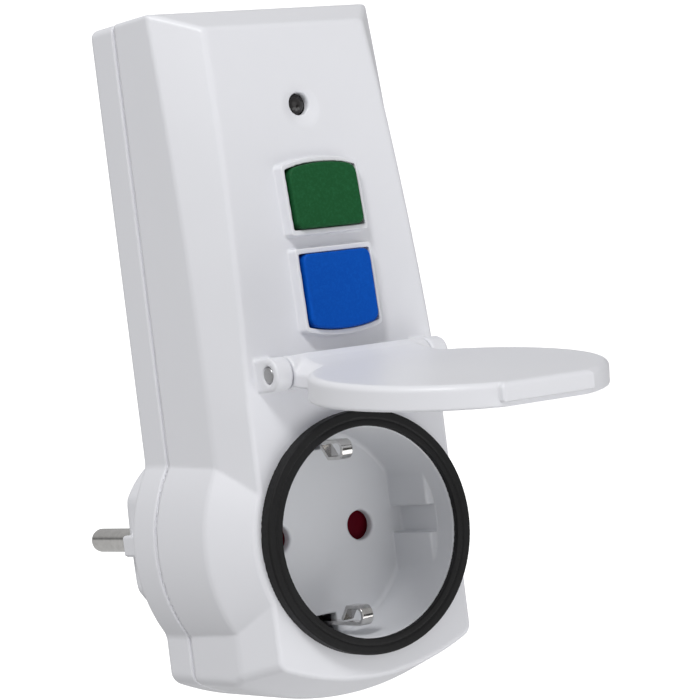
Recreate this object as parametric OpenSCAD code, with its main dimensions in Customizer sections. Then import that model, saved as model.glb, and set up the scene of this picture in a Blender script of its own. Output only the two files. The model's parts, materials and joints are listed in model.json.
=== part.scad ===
// Residual-current adapter plug: a wall plug at the back, a lidded earthed socket in front, and
// between them a tall housing with a reset button, a test button and the trip mechanism.
// Depths are measured backwards from the flat part of the front face and heights from the socket axis.
// The finished part is shifted so that its origin is the middle of the plug face between the pins.

/* [Housing] */
// Width of the column
body_w = 49.3; // [48:0.1:54]
// Top of the column above the socket axis
body_top = 99; // [97:0.5:106]
// Lowest point of the column below the socket axis
body_bottom = 30.8; // [30:0.1:36]
// Depth of the front housing, face to parting line
front_depth = 26.2; // [25.5:0.1:30]
// Depth of the rear cover behind the parting line
rear_depth = 9.1; // [9:0.1:12]
// Wall of both shells
wall = 2.2; // [1.6:0.1:2.6]
// Width of the face beside the socket
face_w_low = 43; // [40:0.5:46]
// Width of the face at its top edge
face_w_top = 35.6; // [32:0.5:40]
// Radius at which the upper face leans back
face_curve_r = 460; // [400:10:700]
// Height at which the face begins to lean back
face_curve_z = 25; // [22:1:30]
// Depth of the side chamfer beside the socket
chamfer_d = 9; // [7:0.1:11]
// Radius at which the side chamfer deepens upwards
chamfer_curve_r = 620; // [500:10:900]
// Height of the bevel along the top edge
top_bevel_h = 4; // [2:0.1:6]
// Depth of the bevel along the top edge
top_bevel_d = 13.2; // [12:0.1:15]
// Radius of the arched bottom edge
bottom_arc_r = 53; // [48:1:70]
// Height of the bevel along the bottom edge
bottom_bevel_h = 4; // [2:0.1:5]
// Depth of the bevel along the bottom edge
bottom_bevel_d = 12; // [8:0.5:15]
// Radius of the round bulge at the parting line
bulge_r = 29.4; // [28.8:0.1:30.6]
// Radius of the bulge where it meets the face
bulge_face_r = 23.6; // [23:0.1:25]
// Depth of the bulge's front cone
bulge_cone_d = 9; // [6:0.1:12]
// Chamfer round the back edge
rear_chamfer = 1.2; // [0.6:0.1:1.8]

/* [Plug] */
// Length of the nose from the rear cover to the plug face
nose_len = 28.3; // [27:0.1:32]
// Radius of the nose
nose_r = 18.5; // [18:0.1:19]
// Width of the nose across its side flats
nose_flat_w = 32.4; // [31:0.1:33]
// Length of the tapered lead-in before the plug face
nose_taper = 6.1; // [5:0.1:8]
// Radius of the flat plug face
plug_face_r = 12.9; // [12.5:0.1:15]
// Width of each side guide rib
rib_w = 4.2; // [3:0.1:4.8]
// Width across both side guide ribs
rib_span = 36.8; // [35:0.1:37.6]
// Distance between the pins
pin_spacing = 19; // [18.6:0.1:19.4]
// Radius of a pin
pin_r = 2.4; // [2:0.05:2.5]
// Length of a pin beyond the plug face
pin_len = 19; // [17:0.1:20]

/* [Socket] */
// Inner radius of the socket recess
cup_r = 19.3; // [19.1:0.05:19.5]
// Depth of the recess from the ring's front
cup_depth = 17.5; // [16.5:0.1:18.5]
// Wall of the socket cup
cup_wall = 1.5; // [1:0.1:1.7]
// Thickness of the recess floor
floor_t = 2.2; // [1.6:0.1:3]
// Height of the sealing ring in front of the face
ring_h = 2.7; // [2:0.1:3]
// Outer radius of the sealing ring
ring_r = 22.5; // [22:0.1:23.2]
// Distance between the side guide blocks
block_gap = 33.7; // [33:0.1:35]
// Width of the slot in each guide block
slot_w = 5.2; // [4.8:0.1:6]
// Radius of the contact holes in the floor
hole_r = 2.8; // [2.6:0.05:3]
// Radius inside a contact sleeve
sleeve_r = 2.5; // [2.45:0.01:2.55]

/* [Lid] */
// Radius of the lid
lid_r = 26.2; // [25.4:0.1:27]
// Overall thickness of the lid
lid_t = 5; // [4.6:0.1:5.4]
// Thickness of the lid's plate
lid_plate = 2.6; // [1.8:0.1:2.9]
// Height of the lid's outer face over the hinge axis
lid_rise = 1.85; // [1.5:0.05:2.3]
// Wall of the lid's skirt
lid_skirt = 2; // [1.4:0.1:2.4]
// How far the open lid droops below level
lid_droop = 7; // [0:1:15]
// Height of the hinge axis over the socket axis
hinge_z = 31; // [30.5:0.1:32]
// Distance of the hinge axis in front of the face
hinge_out = 4; // [3.8:0.1:4.6]
// Radius of the hinge pin
hinge_pin_r = 1.5; // [1:0.05:1.6]
// Radius of the hinge lugs and barrel
lug_r = 3.1; // [2.8:0.1:3.3]
// Width across the hinge lugs
lug_span = 38.4; // [36:0.1:40]
// Thickness of one hinge lug
lug_t = 3.6; // [2.5:0.1:4.5]

/* [Controls] */
// Width of both buttons
button_w = 14.8; // [13:0.1:16]
// Lower edge of the reset button over the socket axis
reset_z = 56.5; // [56:0.1:58]
// Height of the reset button with its arch
reset_h = 12; // [10:0.1:13]
// Lower edge of the test button over the socket axis
test_z = 37.7; // [37:0.1:38.5]
// Height of the test button with its arch
test_h = 14.2; // [12:0.1:14.8]
// Radius of the arched button edges
arch_r = 29; // [20:1:60]
// How far the button frames stand in front of the face
bezel_out = 2.4; // [1.8:0.1:2.8]
// Width of the rim round a button
bezel_rim = 0.8; // [0.6:0.1:1.3]
// How far a button stands out of its frame
button_proud = 0.9; // [0.5:0.1:1.5]
// Travel of the reset button
reset_travel = 3; // [2:0.1:3.2]
// Travel of the test button
test_travel = 2; // [1:0.1:2.4]
// Height of the indicator over the socket axis
led_z = 79.8; // [77:0.1:82]
// Radius of the indicator hole
led_hole_r = 2.1; // [1.65:0.05:2.2]

/* [Mechanism] */
// Depth of the circuit board's front
board_d = 17.5; // [17.4:0.1:18]
// Thickness of the circuit board
board_t = 1.6; // [1.2:0.1:1.7]
// Lower edge of the circuit board over the socket axis
board_low = 31; // [29:0.1:32]
// Upper edge of the circuit board over the socket axis
board_high = 85; // [84:0.1:86]
// Travel of the contact carriage
carriage_travel = 2; // [1:0.1:2]
// Outer radius of the current transformer
core_r = 9; // [7:0.1:9.2]
// Inner radius of the current transformer
core_hole_r = 4.4; // [4.2:0.1:5]
// Thickness of the busbars
bar_t = 1; // [0.6:0.1:1]
// Radius of the shutter's blades
blade_r = 3.4; // [3.2:0.05:3.6]

/* [Hidden] */

$fn = 64;
// Small overlap that keeps cuts clean
cut = 1;
// Gap between a moving piece and its guide
run = 0.3;
// Radial gap of a pin that turns in its bore
pivot_fit = 0.06;
// Gap of a piece that is seated in its hole
seat = 0.05;

rear_d = front_depth + rear_depth;
plug_d = rear_d + nose_len;
nose_d = rear_d - wall;
half_w = body_w / 2;
bevel_z = body_top - top_bevel_h;
arc_z = bottom_arc_r - body_bottom;
taper_d = plug_d - nose_taper;
pin_x = pin_spacing / 2;

rim_d = -ring_h;
floor_d = rim_d + cup_depth;
cup_back = floor_d + floor_t;
cup_or = cup_r + cup_wall;
ring_lip_t = 1.2;
ring_lip_d = rim_d + ring_lip_t;
ring_groove = 0.35;
cup_flange_r = 22;
cup_flange_t = 1.6;
block_in = 6.1;
block_d = rim_d + block_in;
block_draft = 0.45;
slot_out = cup_r - 0.1;

hinge_d = -hinge_out;
lug_in = lug_span / 2 - lug_t;
barrel_half = lug_in - run;

reset_mid = reset_z + reset_h / 2;
test_mid = test_z + test_h / 2;
// Depth in front of both buttons
control_front = -2 * bezel_out;
guide_end = 6.7;
guide_t = 1.2;
flange_front = guide_end + run;
flange_t = 1.5;
flange_back = flange_front + flange_t;
flange_grow = 0.9;
button_wire = 0.35;
stem_r = 2;
stem_reach = 1.2;
stem_play = 0.7;

board_back = board_d + board_t;
board_edge = 2.1;
board_half = half_w - wall - board_edge;
// Posts that carry the board, measured in from the housing's side and the board's edges
post_in = 6.85;
post_up = 3.5;
post_down = 9;
post_x = half_w - post_in;
post_low = board_low + post_up;
post_high = board_high - post_down;
post_r = 2.3;
board_screw_r = 1.1;
board_screw_len = 5.5;
board_head_r = 2;
board_head_t = 1.5;

// Screws that join the two shells: two in the upper corners, two beside the socket
shell_screw_r = 1.45;
shell_screw_len = 11;
shell_boss_r = 2.6;
shell_head_r = 2.6;
shell_head_seat = 2.3;
shell_head_d = rear_d - shell_head_seat;
corner_in = 6.15;
corner_down = 9.5;
low_screw_r = (cup_or + bulge_r) / 2;
low_screw_in = 5.45;
low_screw_x = half_w - low_screw_in;
low_screw_z = -sqrt(pow(low_screw_r, 2) - pow(low_screw_x, 2));
shell_screws = [
    for (s = [-1, 1])
        each [[s * (half_w - corner_in), body_top - corner_down], [s * low_screw_x, low_screw_z]]
];

shutter_d = cup_back + run;
shutter_t = 1.2;
pivot_r = 1.5;
retainer_d = shutter_d + shutter_t + run;
retainer_t = 1;

carriage_d = board_back + stem_reach + reset_travel - carriage_travel + stem_play;
carriage_t = 3;
carriage_back = carriage_d + carriage_t;
carriage_half = 17.2;
carriage_h = 11;
guide_x = 15.5;
guide_r = 1.2;
contact_x = 11;
contact_w = 4;
contact_span = 16;
strip_t = 0.8;
tip_r = 1.3;
tip_t = 0.6;
fixed_tip_d = carriage_back + strip_t + tip_t + carriage_travel + run;
link_d = fixed_tip_d + strip_t;
block_front = link_d + bar_t;
block_back = rear_d - wall;
block_down = 12.5;
block_up = 11.5;
block_z0 = reset_mid - block_down;
block_z1 = reset_mid + block_up;
armature_t = 1.5;
pole_d = carriage_back + armature_t + carriage_travel + run;
yoke_half = 6;
yoke_h = 9;
yoke_t = 1.2;
yoke_d = block_back - 1;
core_up = 15;
core_z = reset_mid + core_up;
core_stand = 0.9;
core_t = 8;
core_d0 = board_back + core_stand;
core_d1 = core_d0 + core_t;
winding_t = 1.2;
bar_w = 3;

sleeve_wall = 0.8;
sleeve_len = 9.8;
sleeve_or = sleeve_r + sleeve_wall;
sleeve_d0 = board_back + 0.1;
sleeve_d1 = sleeve_d0 + sleeve_len;
holder_t = 4;
holder_d0 = sleeve_d0 + 3.8;
holder_d1 = holder_d0 + holder_t;
strap_d = sleeve_d1 - bar_t;
feed_low = 10.5;
pin_seat = taper_d - 1;
pin_tail = 10.5;
pin_back = pin_seat - pin_tail + 1;

// One solid between two depths from a drawing of the front view
module plate(d0, d1) {
    translate([0, d1, 0]) rotate([90, 0, 0]) linear_extrude(d1 - d0) children();
}

// One solid across the width from a drawing of the side view
module slab(x0, x1) {
    translate([x0, 0, 0]) rotate([90, 0, 90]) linear_extrude(x1 - x0) children();
}

// A turned form about an axis that runs front to back
module turned(x = 0, z = 0) {
    translate([x, 0, z]) rotate([-90, 0, 0]) rotate_extrude($fn = 96) children();
}

module rod(x, z, d0, d1, r) {
    translate([x, d0, z]) rotate([-90, 0, 0]) cylinder(r = r, h = d1 - d0);
}

module block(x0, x1, d0, d1, z0, z1) {
    translate([x0, d0, z0]) cube([x1 - x0, d1 - d0, z1 - z0]);
}

module place() {
    translate([0, -plug_d, 0]) children();
}

// Pieces on the line side are at -X and those on the neutral side at +X
module neutral_side() {
    mirror([1, 0, 0]) children();
}

// A coil spring along the depth, as one tube swept round a helix
module coil(x, z, d0, d1, r, wire, turns) {
    steps = 16;
    sides = 6;
    count = turns * steps;
    rise = (d1 - d0 - 2 * wire) / count;
    points = [
        for (i = [0:count], j = [0:sides - 1])
            let (a = 360 * i / steps, b = 360 * j / sides, q = r + wire * cos(b))
                [x + q * cos(a), d0 + wire + rise * i + wire * sin(b), z + q * sin(a)]
    ];
    walls = [
        for (i = [0:count - 1], j = [0:sides - 1])
            let (p = i * sides, k = (j + 1) % sides)
                each [[p + j, p + sides + j, p + sides + k], [p + j, p + sides + k, p + k]]
    ];
    last = count * sides;
    caps = [
        for (j = [1:sides - 2])
            each [[0, j, j + 1], [last, last + j + 1, last + j]]
    ];
    polyhedron(points, concat(walls, caps));
}

function face_d(z) = pow(max(0, z - face_curve_z), 2) / (2 * face_curve_r);
function chamfer_edge(z) = chamfer_d + pow(max(0, z - face_curve_z), 2) / (2 * chamfer_curve_r);
function lean(z) = max(0, z - face_curve_z) / (bevel_z - face_curve_z);
function face_half(z) = (face_w_low - (face_w_low - face_w_top) * lean(z)) / 2;

// Share of an inset that reaches the chamfer's two edges
inset_share = 0.41;
function column_section(z, inset, back) =
    let (w = half_w - inset,
         at_top = z > bevel_z,
         f = inset + (at_top ? top_bevel_d : face_d(z)),
         h = at_top ? w - 0.1 : face_half(z) - inset_share * inset,
         e = at_top ? f + 0.1 : chamfer_edge(z) + inset_share * inset)
        [[-w, back, z], [-w, e, z], [-h, f, z], [h, f, z], [w, e, z], [w, back, z]];

// The column from the face to the parting line, lofted through level sections
module column(inset, back) {
    leans = 7;
    levels = concat([-body_bottom - 4],
                    [for (k = [0:leans]) face_curve_z + (bevel_z - face_curve_z) * k / leans],
                    [body_top - inset]);
    sides = 6;
    points = [for (z = levels) each column_section(z, inset, back)];
    walls = [
        for (i = [0:len(levels) - 2], j = [0:sides - 1])
            let (p = i * sides, k = (j + 1) % sides)
                each [[p + j, p + sides + j, p + sides + k], [p + j, p + sides + k, p + k]]
    ];
    top = (len(levels) - 1) * sides;
    caps = [[for (j = [0:sides - 1]) j], [for (j = [sides - 1:-1:0]) top + j]];
    polyhedron(points, concat(walls, caps));
}

// Limits the column to its arched bottom and the bevel along it
module bottom_limit(inset, back) {
    slope = bottom_bevel_h / bottom_bevel_d;
    lead = 5;
    r = bottom_arc_r - inset;
    turned(0, arc_z) polygon([
        [0, -lead], [r - bottom_bevel_h - slope * lead, -lead],
        [r, bottom_bevel_d], [r, back + cut], [0, back + cut]
    ]);
    block(-body_w, body_w, -lead, back + cut, arc_z, body_top + cut);
}

module bulge_front(inset, back) {
    draft = 0.4;
    turned() polygon([
        [0, inset], [bulge_face_r - inset_share * inset, inset],
        [bulge_r - draft - inset, bulge_cone_d], [bulge_r - inset, back], [0, back]
    ]);
}

module front_form(inset, back = front_depth) {
    intersection() {
        column(inset, back);
        bottom_limit(inset, back);
    }
    bulge_front(inset, back);
}

module column_outline(inset) {
    intersection() {
        translate([-half_w + inset, -body_bottom - cut])
            square([body_w - 2 * inset, body_top + body_bottom + cut - inset]);
        union() {
            translate([0, arc_z]) circle(bottom_arc_r - inset, $fn = 128);
            translate([-body_w, arc_z]) square([2 * body_w, body_top]);
        }
    }
}

module outline(inset) {
    column_outline(inset);
    circle(bulge_r - inset, $fn = 96);
}

// Front view of a button; grow adds a margin all round
module reset_shape(grow) {
    intersection() {
        translate([-button_w / 2 - grow, reset_z - grow]) square([button_w + 2 * grow, reset_h + 2 * grow]);
        translate([0, reset_z + reset_h - arch_r]) circle(arch_r + grow, $fn = 96);
    }
}

module test_shape(grow) {
    intersection() {
        translate([-button_w / 2 - grow, test_z - grow]) square([button_w + 2 * grow, test_h + 2 * grow]);
        translate([0, test_z + arch_r]) circle(arch_r + grow, $fn = 96);
    }
}

// Everything behind a plane that leans with the face and stands in front of it at height z
module behind(z, out) {
    tilt = atan((z - face_curve_z) / face_curve_r);
    reach = 20;
    translate([0, face_d(z) - out, z]) rotate([-tilt, 0, 0]) block(-half_w, half_w, 0, reach, -reach, reach);
}

module hinge_lug(x0) {
    slab(x0, x0 + lug_t) {
        translate([hinge_d, hinge_z]) circle(lug_r);
        translate([hinge_d, hinge_z - lug_r]) square([hinge_out + wall / 2, 2 * lug_r]);
    }
}

// Bosses and guides on the inside, trimmed so that they stay within the wall
module front_bosses() {
    skin = 0.6;
    intersection() {
        front_form(skin);
        union() {
            for (p = shell_screws) rod(p[0], p[1], 0, front_depth, shell_boss_r);
            for (x = [-post_x, post_x], z = [post_low, post_high]) rod(x, z, 0, board_d, post_r);
            plate(0, guide_end) reset_shape(run + guide_t);
            plate(0, guide_end) test_shape(run + guide_t);
        }
    }
}

module front_housing() color("whitesmoke") place() {
    dish_r = 3.5;
    dish_d = 0.9;
    led_d = face_d(led_z);
    difference() {
        union() {
            difference() {
                front_form(0);
                front_form(wall, front_depth + cut);
            }
            front_bosses();
            intersection() {
                plate(control_front, wall) reset_shape(run + bezel_rim);
                behind(reset_mid, bezel_out);
            }
            intersection() {
                plate(control_front, wall) test_shape(run + bezel_rim);
                behind(test_mid, bezel_out);
            }
            hinge_lug(-lug_span / 2);
            hinge_lug(lug_in);
        }
        rod(0, 0, -cut, wall + cut, cup_or + seat);
        plate(control_front, guide_end + cut) reset_shape(run);
        plate(control_front, guide_end + cut) test_shape(run);
        translate([0, hinge_d, hinge_z]) hinge_rod(lug_span, hinge_pin_r + seat);
        rod(0, led_z, -cut, led_d + wall + 2 * cut, led_hole_r);
        translate([0, led_d - dish_d / 2, led_z]) rotate([-90, 0, 0])
            cylinder(r1 = dish_r, r2 = led_hole_r, h = 1.5 * dish_d);
        for (p = shell_screws)
            rod(p[0], p[1], front_depth - shell_screw_len - cut, front_depth + cut, shell_screw_r + seat);
        for (x = [-post_x, post_x], z = [post_low, post_high])
            rod(x, z, board_d - board_screw_len - seat, board_d + cut, board_screw_r + seat);
    }
}

// Section of the nose with its two side ribs; grow adds a margin all round
module nose_outline(grow) {
    intersection() {
        circle(nose_r + grow, $fn = 96);
        square([nose_flat_w + 2 * grow, 2 * (nose_r + grow) + cut], center = true);
    }
    square([rib_span + 2 * grow, rib_w + 2 * grow], center = true);
}

module nose_form() {
    flat = nose_flat_w / 2;
    intersection() {
        turned() polygon([
            [0, nose_d], [nose_r, nose_d], [nose_r, taper_d], [plug_face_r, plug_d], [0, plug_d]
        ]);
        translate([0, 0, -nose_r - cut]) linear_extrude(2 * (nose_r + cut)) polygon([
            [-flat, nose_d - cut], [flat, nose_d - cut], [flat, taper_d],
            [plug_face_r, plug_d], [-plug_face_r, plug_d], [-flat, taper_d]
        ]);
    }
    plate(nose_d, taper_d) square([rib_span, rib_w], center = true);
}

// Grooves and bridges for the plug's earth contacts
earth_half = 3;
earth_z0 = nose_r - 1.9;
earth_t = 1.1;
earth_in = 8.7;
earth_d0 = rear_d + earth_in;
earth_d1 = taper_d + 1;
tail_half = 2;
tail_d0 = earth_d0 + 1;
tail_d1 = tail_d0 + 2;
strap_z = nose_r - 4.1;

module rear_cover() color("gainsboro") place() {
    groove = [0.75, 1.65];
    groove_d = 1;
    boss_r = 3.4;
    difference() {
        union() {
            difference() {
                union() {
                    plate(front_depth, rear_d - rear_chamfer) outline(0);
                    hull() {
                        plate(rear_d - rear_chamfer - 0.1, rear_d - rear_chamfer) column_outline(0);
                        plate(rear_d - 0.1, rear_d) column_outline(rear_chamfer);
                    }
                    turned() polygon([
                        [0, rear_d - rear_chamfer], [bulge_r, rear_d - rear_chamfer],
                        [bulge_r - rear_chamfer, rear_d], [0, rear_d]
                    ]);
                }
                plate(front_depth - cut, rear_d - wall) outline(wall);
            }
            for (p = shell_screws) rod(p[0], p[1], front_depth, rear_d - wall / 2, boss_r);
        }
        plate(nose_d - cut, rear_d + cut) nose_outline(seat);
        plate(front_depth - cut, front_depth + groove_d + seat) difference() {
            outline(groove[0]);
            outline(groove[1]);
        }
        for (p = shell_screws) {
            rod(p[0], p[1], front_depth - cut, rear_d + cut, shell_screw_r + seat);
            rod(p[0], p[1], shell_head_d, rear_d + cut, shell_head_r + 0.2);
        }
    }
}

// The nose is put in from inside, and its collar seats on the back wall
module plug_nose() color("gainsboro") place() {
    collar_out = 1.8;
    collar_t = 1.5;
    collar_d = nose_d - collar_t;
    inner_half = nose_flat_w / 2 - wall;
    difference() {
        union() {
            nose_form();
            rod(0, 0, collar_d, nose_d, nose_r + collar_out);
        }
        intersection() {
            rod(0, 0, collar_d - cut, pin_seat, nose_r - wall);
            block(-inner_half, inner_half, collar_d - 2 * cut, plug_d, -nose_r, nose_r);
        }
        for (x = [-pin_x, pin_x]) rod(x, 0, pin_seat - cut, plug_d + cut, pin_r + seat);
        for (m = [0, 1]) mirror([0, 0, m]) {
            block(-earth_half - seat, earth_half + seat, earth_d0 - seat, earth_d1 + seat,
                  earth_z0, nose_r + cut);
            block(-tail_half - seat, tail_half + seat, tail_d0 - seat, tail_d1 + seat,
                  strap_z, earth_z0 + cut);
        }
    }
}

module housing_gasket() color("dimgray") place()
    plate(front_depth, front_depth + 1) difference() {
        outline(0.8);
        outline(1.6);
    }

// Cross recess in the head of a shell screw
cross_len = 3.6;
cross_w = 0.8;
cross_deep = 1.5;

module housing_screws() color("silver") place()
    for (p = shell_screws) difference() {
        union() {
            rod(p[0], p[1], front_depth - shell_screw_len, shell_head_d + seat, shell_screw_r);
            rod(p[0], p[1], shell_head_d + seat, rear_d - 0.5, shell_head_r);
        }
        for (a = [0, 90]) translate([p[0], rear_d, p[1]]) rotate([0, a, 0])
            cube([cross_len, 2 * cross_deep, cross_w], center = true);
    }

// Where an earth clip passes through the floor
clip_half = 1.25;
clip_t = 0.7;
clip_wall_z = cup_r - 2.6;
clip_hook_r = 1.9;
clip_in = 6.6;
clip_tip_d = rim_d + clip_in;
// Straight length of a clip's hook, then depth and height of its slanting end
clip_run = 3.1;
clip_end_d = 1.9;
clip_end_z = 2.2;
// Free room round a clip in its floor slot, which its hook passes on the way in
clip_side = 1.8;
clip_under = 1.2;

module socket_cup() color("lightgray") place() {
    slot_half = slot_w / 2;
    difference() {
        union() {
            difference() {
                union() {
                    rod(0, 0, ring_lip_d, cup_back, cup_or);
                    rod(0, 0, wall, wall + cup_flange_t, cup_flange_r);
                }
                rod(0, 0, ring_lip_d - cut, floor_d, cup_r);
            }
            for (m = [0, 1]) mirror([m, 0, 0]) intersection() {
                rod(0, 0, block_d, floor_d + cut, cup_r + cup_wall / 2);
                difference() {
                    translate([0, 0, -cup_r]) linear_extrude(2 * cup_r) polygon([
                        [block_gap / 2, floor_d + cut], [block_gap / 2 + block_draft, block_d],
                        [cup_or, block_d], [cup_or, floor_d + cut]
                    ]);
                    block(0, slot_out, block_d - cut, floor_d, -slot_half, slot_half);
                }
            }
            rod(0, 0, floor_d + cut, retainer_d + retainer_t, pivot_r);
        }
        for (x = [-pin_x, pin_x]) rod(x, 0, floor_d - cut, cup_back + cut, hole_r);
        for (a = [0, 180]) rotate([0, a, 0])
            block(-clip_half - run, clip_half + clip_side, floor_d - cut, cup_back + cut,
                  clip_wall_z - clip_under, clip_wall_z - clip_under + 2 * clip_hook_r + run);
    }
}

module socket_seal_ring() color([0.09, 0.09, 0.09]) place() {
    groove_r = cup_r + 1.3;
    lip_r = cup_r + 0.15;
    edge = 0.3;
    turned() polygon([
        [lip_r, rim_d], [groove_r, rim_d], [groove_r + ring_groove / 2, rim_d + ring_groove],
        [groove_r + ring_groove, rim_d], [ring_r - edge, rim_d], [ring_r, rim_d + edge], [ring_r, 0],
        [cup_or + seat, 0], [cup_or + seat, ring_lip_d], [lip_r, ring_lip_d]
    ]);
}

module earth_clip() {
    hook_z = clip_wall_z + clip_t - clip_hook_r;
    slab(-clip_half, clip_half) {
        translate([clip_tip_d, clip_wall_z]) square([retainer_d + retainer_t - clip_tip_d, clip_t]);
        translate([clip_tip_d, hook_z - clip_hook_r]) square([clip_run, clip_t]);
        translate([clip_tip_d + clip_run, hook_z - clip_hook_r + clip_t / 2]) hull() {
            circle(clip_t / 2);
            translate([clip_end_d, clip_end_z]) circle(clip_t / 2);
        }
        intersection() {
            translate([clip_tip_d, hook_z]) difference() {
                circle(clip_hook_r);
                circle(clip_hook_r - clip_t);
            }
            translate([clip_tip_d - 2 * clip_hook_r, hook_z - 2 * clip_hook_r])
                square([2 * clip_hook_r, 4 * clip_hook_r]);
        }
        translate([retainer_d, strap_z]) square([retainer_t, clip_wall_z + clip_t - strap_z]);
    }
}

module upper_earth_clip() color("silver") place() earth_clip();
module lower_earth_clip() color("silver") place() mirror([0, 0, 1]) earth_clip();

module shutter() color("darkred") place() {
    hub_r = 4;
    arm_half = 2;
    shutter_back = shutter_d + shutter_t;
    difference() {
        union() {
            rod(0, 0, shutter_d, shutter_back, hub_r);
            block(-pin_x, pin_x, shutter_d, shutter_back, -arm_half, arm_half);
            for (x = [-pin_x, pin_x]) rod(x, 0, shutter_d, shutter_back, blade_r);
        }
        rod(0, 0, shutter_d - cut, shutter_back + cut, pivot_r + pivot_fit);
    }
}

retainer_r = 2.6;

module shutter_spring() color("silver") place()
    coil(0, 0, retainer_d, retainer_d + 2.2, retainer_r + 0.8, 0.3, 3);

module shutter_retainer() color("silver") place() difference() {
    rod(0, 0, retainer_d, retainer_d + retainer_t, retainer_r);
    rod(0, 0, retainer_d - cut, retainer_d + retainer_t + cut, pivot_r + seat);
}

// A bar's cross-section in width, centred on a pin
bar_x0 = -pin_x - bar_w / 2;
bar_x1 = -pin_x + bar_w / 2;

module receptacle() {
    tab_d = board_back + bar_t;
    tab_top = 8;
    difference() {
        union() {
            rod(-pin_x, 0, sleeve_d0, sleeve_d1, sleeve_or);
            block(bar_x0, bar_x1, tab_d, tab_d + bar_t, sleeve_r + sleeve_wall / 2, tab_top);
        }
        rod(-pin_x, 0, sleeve_d0 - cut, sleeve_d1 + cut, sleeve_r);
    }
}

module load_bar() {
    lap = 2;
    block(bar_x0, bar_x1, board_back, board_back + bar_t, sleeve_or + run, board_low + lap);
}

module line_receptacle() color("goldenrod") place() receptacle();
module neutral_receptacle() color("goldenrod") place() neutral_side() receptacle();
module line_load_bar() color("peru") place() load_bar();
module neutral_load_bar() color("peru") place() neutral_side() load_bar();

module receptacle_holder() color("darkgray") place() {
    holder_r = 17;
    leg_x = 15;
    leg_r = 1.5;
    difference() {
        union() {
            rod(0, 0, holder_d0, holder_d1, holder_r);
            for (x = [-leg_x, leg_x]) rod(x, 0, cup_back, holder_d0, leg_r);
        }
        for (x = [-pin_x, pin_x]) rod(x, 0, holder_d0 - cut, holder_d1 + cut, sleeve_or + seat);
        for (m = [0, 1]) mirror([0, 0, m])
            block(-tail_half - run, tail_half + run, holder_d0 - cut, holder_d1 + cut,
                  strap_z - run, holder_r + cut);
    }
}

// A rod along the hinge axis, of the given half length
module hinge_rod(half, r) {
    translate([-half, 0, 0]) rotate([0, 90, 0]) cylinder(r = r, h = 2 * half);
}

module lid_disc(r, z0, z1) {
    translate([0, -hinge_z, z0]) cylinder(r = r, h = z1 - z0, $fn = 128);
}

// The lid is drawn level, reaching forwards from its hinge axis, and then droops
module lid() color("white") place() translate([0, hinge_d, hinge_z]) rotate([lid_droop, 0, 0]) {
    top = lid_rise;
    under = top - lid_plate;
    low = top - lid_t;
    reach = hinge_z;
    lip_out = 0.7;
    lip_half = 15;
    lip_low = low + 1;
    arm_low = -2.4;
    ramp_len = 9;
    difference() {
        union() {
            difference() {
                lid_disc(lid_r, low, top);
                block(-lip_half, lip_half, -reach - lid_r - cut, -reach, low - cut, lip_low);
            }
            intersection() {
                lid_disc(lid_r + lip_out, lip_low, top);
                block(-lip_half, lip_half, -reach - lid_r - cut, -reach, lip_low, top);
            }
            block(-barrel_half, barrel_half, -reach + lid_r / 2, 0, arm_low, top);
            slab(-barrel_half, barrel_half)
                polygon([[0, lug_r], [0, arm_low], [-ramp_len, arm_low], [-ramp_len, top]]);
            hinge_rod(barrel_half, lug_r);
        }
        lid_disc(lid_r - lid_skirt, low - cut, under);
        hinge_rod(lug_span, hinge_pin_r + pivot_fit);
    }
}

module lid_hinge_pin() color("dimgray") place()
    translate([0, hinge_d, hinge_z]) hinge_rod(lug_span / 2, hinge_pin_r);

module reset_button() color("darkgreen") place() {
    intersection() {
        plate(control_front, flange_back) reset_shape(0);
        behind(reset_mid, bezel_out + button_proud);
    }
    plate(flange_front, flange_back) reset_shape(flange_grow);
    rod(0, reset_mid, flange_back, board_back + stem_reach, stem_r);
}

module reset_spring() color("silver") place()
    coil(0, reset_mid, flange_back, board_d, stem_r + 1.3, button_wire, 5);

module test_button() color("royalblue") place() {
    intersection() {
        plate(control_front, flange_back) test_shape(0);
        behind(test_mid, bezel_out + button_proud);
    }
    plate(flange_front, flange_back) test_shape(flange_grow);
    rod(0, test_mid, flange_back, board_d - dome_t - test_travel - run, stem_r);
}

module test_spring() color("silver") place()
    coil(0, test_mid, flange_back, board_d, stem_r + 2.4, button_wire, 5);

dome_t = 0.7;
module test_contact_dome() color("gold") place()
    turned(0, test_mid) polygon([[0, board_d - dome_t], [2, board_d - dome_t], [3, board_d], [0, board_d]]);

led_len = 7;

module indicator_lens() color("dimgray") place() {
    sunk = 1.1;
    collar_t = 1;
    collar_d = face_d(led_z) + wall + 0.6;
    rod(0, led_z, face_d(led_z) + sunk, board_d - led_len - run, led_hole_r - 0.1);
    rod(0, led_z, collar_d, collar_d + collar_t, led_hole_r + 1);
}

module indicator_led() color("darkred") place() {
    base_t = 2;
    rod(0, led_z, board_d - led_len, board_d, 1.5);
    rod(0, led_z, board_d - base_t, board_d, 1.9);
}

module contact_pin() {
    tip = 1.6;
    collar = 1;
    collar_t = 2;
    tip_d = plug_d + pin_len - tip;
    turned(-pin_x, 0) {
        translate([0, pin_back]) square([pin_r, tip_d - pin_back]);
        translate([0, pin_seat - collar_t]) square([pin_r + collar, collar_t]);
        polygon([
            [0, tip_d], [pin_r, tip_d],
            for (a = [15:15:90]) [pin_r - tip + tip * cos(a), tip_d + tip * sin(a)],
            [0, tip_d + tip]
        ]);
    }
}

module line_pin() color("silver") place() contact_pin();
module neutral_pin() color("silver") place() neutral_side() contact_pin();

module plug_earth() {
    block(-earth_half, earth_half, earth_d0, earth_d1, earth_z0, earth_z0 + earth_t);
    block(-tail_half, tail_half, tail_d0, tail_d1, strap_z + bar_t, earth_z0);
}

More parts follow.
